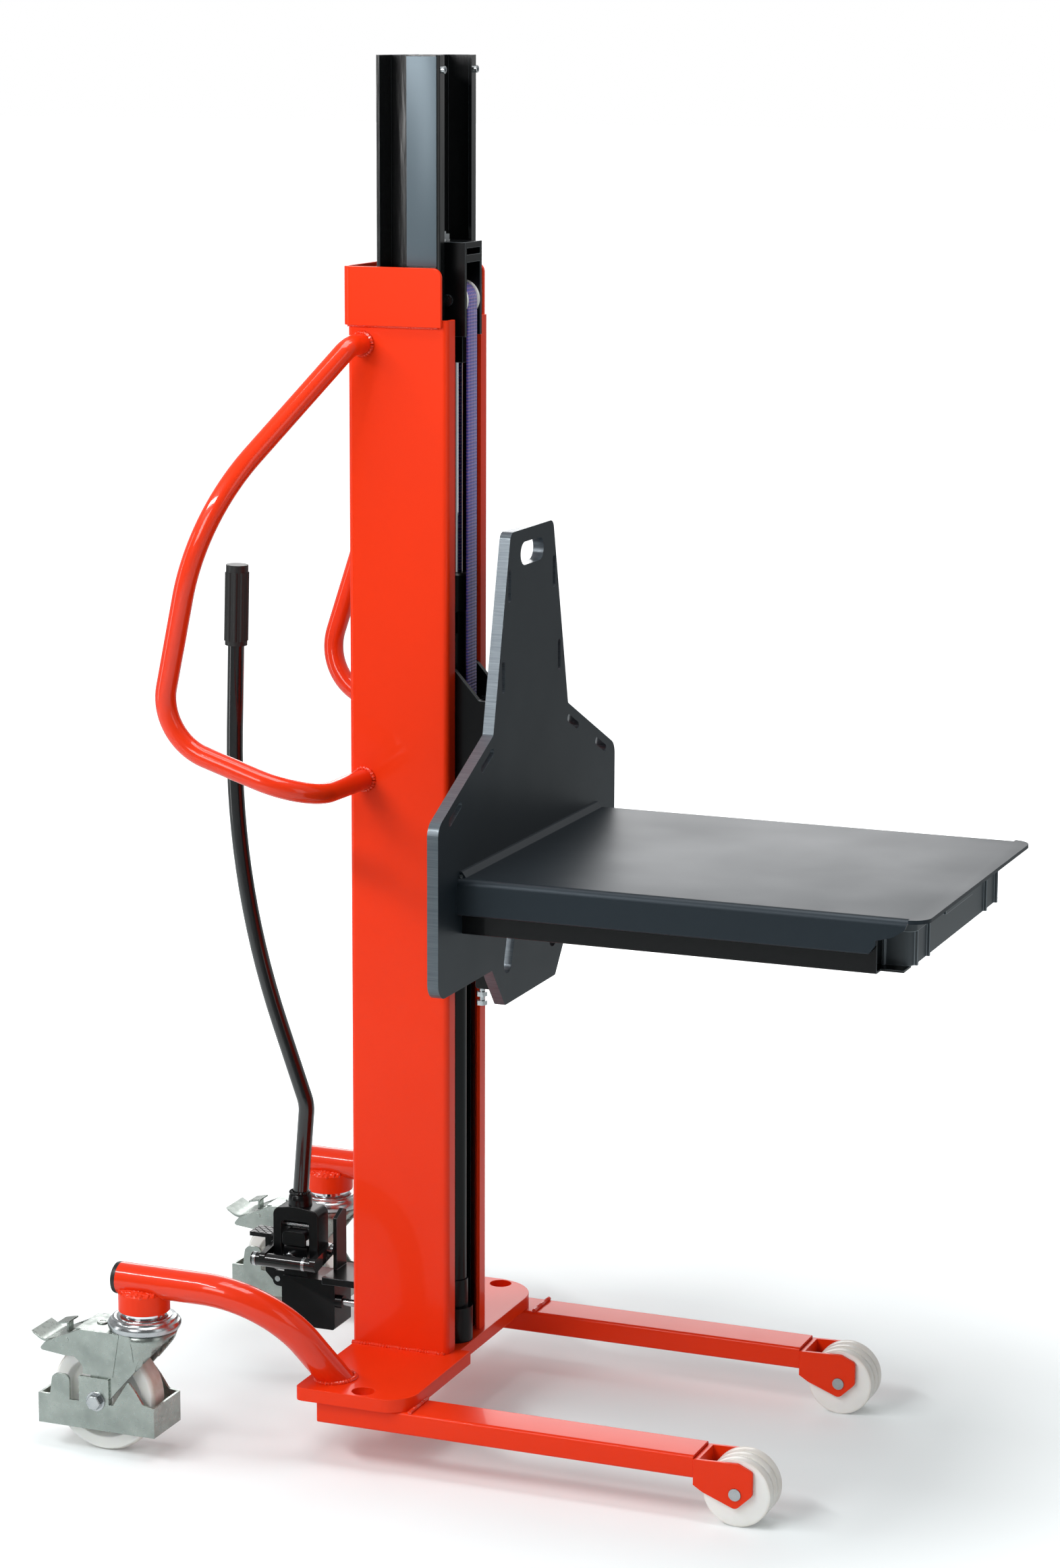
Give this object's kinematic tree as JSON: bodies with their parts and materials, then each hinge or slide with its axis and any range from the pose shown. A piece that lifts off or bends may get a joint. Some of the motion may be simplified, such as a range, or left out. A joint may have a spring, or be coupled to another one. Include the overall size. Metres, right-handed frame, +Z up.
{
  "type": "manual platform stacker",
  "caption": "Hand-pumped stacker with a lipped mast, belt-lifted load platform over a sliding tray, bent handles, low legs with rollers and braked casters.",
  "frame": {"origin": "on the floor, under the middle of the bounding box", "axes": "+X from the mast to the platform's front edge, +Y to the left of someone pushing the machine, +Z up"},
  "size_m": [1.19, 0.677, 1.814],
  "materials": {
    "red_paint": "smooth red-orange powder coat, slightly glossy",
    "black_paint": "satin black powder coat",
    "deck_paint": "fine-textured grey-black powder coat",
    "chrome": "ground and chromed",
    "zinc": "bright zinc plate",
    "bright_steel": "bright plated steel",
    "white_nylon": "white cast nylon",
    "belt_weave": "violet-blue woven webbing",
    "black_plastic": "black moulded plastic",
    "grip_rubber": "black fluted rubber",
    "tray_plastic": "grey injection-moulded plastic"
  },
  "bodies": {
    "frame": {"base_plate": "red_paint", "leg_left": "red_paint", "leg_right": "red_paint", "fork_left": "red_paint", "fork_right": "red_paint", "roller_pins": "bright_steel", "outer_mast": "red_paint", "mast_collar": "red_paint", "inner_mast": "black_paint", "mast_stop_bolts": "bright_steel", "handle_left": "red_paint", "handle_right": "red_paint", "caster_arm_left": "red_paint", "caster_arm_right": "red_paint", "arm_caps": "black_plastic", "caster_bosses": "red_paint", "caster_heads": "zinc", "cylinder_foot": "black_paint", "cylinder_barrel": "black_paint", "cylinder_gland": "black_paint", "belt_anchor": "black_paint", "pump_body": "black_paint", "pump_bracket": "black_paint", "pressure_pipe": "bright_steel", "pump_pins": "bright_steel"},
    "ram": {"piston_rod": "chrome", "pulley_block": "black_paint", "pulley_axle": "bright_steel", "block_bolt": "bright_steel", "lift_belt_rear": "belt_weave"},
    "pulley": {"belt_pulley": "white_nylon"},
    "carriage": {"carriage_frame": "black_paint", "belt_clamp": "bright_steel", "carriage_screws": "bright_steel", "face_plate": "black_paint", "platform": "deck_paint", "tray_runners": "black_paint", "lift_belt_front": "belt_weave"},
    "upper_guides": {"guide_rollers_upper": "bright_steel"},
    "lower_guides": {"guide_rollers_lower": "bright_steel"},
    "tray": {"tray": "tray_plastic"},
    "rocker": {"pump_yoke": "black_paint", "pump_lever": "black_paint", "lever_grip": "grip_rubber", "foot_stirrup": "black_paint", "press_roller": "bright_steel"},
    "plunger": {"pump_plunger": "black_paint"},
    "release": {"release_pedal": "black_paint"},
    "front_roller_left": {"front_roller_left": "white_nylon"},
    "front_roller_right": {"front_roller_right": "white_nylon"},
    "swivel_left": {"caster_fork_left": "zinc", "caster_guard_left": "zinc", "caster_axle_left": "zinc"},
    "wheel_left": {"caster_wheel_left": "white_nylon"},
    "brake_left": {"brake_pedal_left": "zinc"},
    "swivel_right": {"caster_fork_right": "zinc", "caster_guard_right": "zinc", "caster_axle_right": "zinc"},
    "wheel_right": {"caster_wheel_right": "white_nylon"},
    "brake_right": {"brake_pedal_right": "zinc"}
  },
  "joints": [
    {"name": "ram_lift", "type": "slide", "parent": "frame", "child": "ram", "axis": [0, 0, 1], "range_m": [-0.27, 0.23], "deforming": ["lift_belt_rear"]},
    {"name": "carriage_lift", "type": "slide", "parent": "ram", "child": "carriage", "axis": [0, 0, 1], "range_m": [-0.271, 0.231], "deforming": ["lift_belt_front"]},
    {"name": "pulley_spin", "type": "hinge", "parent": "ram", "child": "pulley", "pos_m": [-0.12, 0, 1.506], "axis": [0, 1, 0], "range_deg": [-600, 704]},
    {"name": "upper_guide_spin", "type": "hinge", "parent": "carriage", "child": "upper_guides", "pos_m": [-0.1385, 0, 1], "axis": [0, 1, 0], "range_deg": [-1935, 1649]},
    {"name": "lower_guide_spin", "type": "hinge", "parent": "carriage", "child": "lower_guides", "pos_m": [-0.1385, 0, 0.69], "axis": [0, 1, 0], "range_deg": [-1649, 1935]},
    {"name": "tray_slide", "type": "slide", "parent": "carriage", "child": "tray", "axis": [1, 0, 0], "range_m": [0, 0.4]},
    {"name": "lever_swing", "type": "hinge", "parent": "frame", "child": "rocker", "pos_m": [-0.362, 0.034, 0.196], "axis": [1, 0, 0], "range_deg": [0, 25], "stiffness_Nm_per_rad": 14},
    {"name": "plunger_stroke", "type": "slide", "parent": "frame", "child": "plunger", "axis": [0, 0, 1], "range_m": [-0.0085, 0]},
    {"name": "release_press", "type": "hinge", "parent": "frame", "child": "release", "pos_m": [-0.399, 0.038, 0.146], "axis": [0, 1, 0], "range_deg": [-12, 0], "stiffness_Nm_per_rad": 1},
    {"name": "caster_swivel_left", "type": "hinge", "parent": "frame", "child": "swivel_left", "pos_m": [-0.441, 0.29, 0.18], "axis": [0, 0, 1], "continuous": true},
    {"name": "caster_spin_left", "type": "hinge", "parent": "swivel_left", "child": "wheel_left", "pos_m": [-0.495, 0.29, 0.075], "axis": [0, 1, 0], "continuous": true},
    {"name": "brake_press_left", "type": "hinge", "parent": "swivel_left", "child": "brake_left", "pos_m": [-0.539, 0.29, 0.153], "axis": [0, 1, 0], "range_deg": [-8, 0]},
    {"name": "roller_spin_left", "type": "hinge", "parent": "frame", "child": "front_roller_left", "pos_m": [0.364, 0.217, 0.045], "axis": [0, 1, 0], "continuous": true},
    {"name": "caster_swivel_right", "type": "hinge", "parent": "frame", "child": "swivel_right", "pos_m": [-0.441, -0.29, 0.18], "axis": [0, 0, 1], "continuous": true},
    {"name": "caster_spin_right", "type": "hinge", "parent": "swivel_right", "child": "wheel_right", "pos_m": [-0.495, -0.29, 0.075], "axis": [0, 1, 0], "continuous": true},
    {"name": "brake_press_right", "type": "hinge", "parent": "swivel_right", "child": "brake_right", "pos_m": [-0.539, -0.29, 0.153], "axis": [0, 1, 0], "range_deg": [-8, 0]},
    {"name": "roller_spin_right", "type": "hinge", "parent": "frame", "child": "front_roller_right", "pos_m": [0.364, -0.217, 0.045], "axis": [0, 1, 0], "continuous": true}
  ],
  "couplings": [
    {"joint": "carriage_lift", "follows": "ram_lift", "ratio": 1},
    {"joint": "pulley_spin", "follows": "ram_lift", "rad_per_m": -45.455},
    {"joint": "upper_guide_spin", "follows": "ram_lift", "rad_per_m": 125},
    {"joint": "lower_guide_spin", "follows": "ram_lift", "rad_per_m": -125},
    {"joint": "plunger_stroke", "follows": "lever_swing", "m_per_rad": -0.01902}
  ]
}
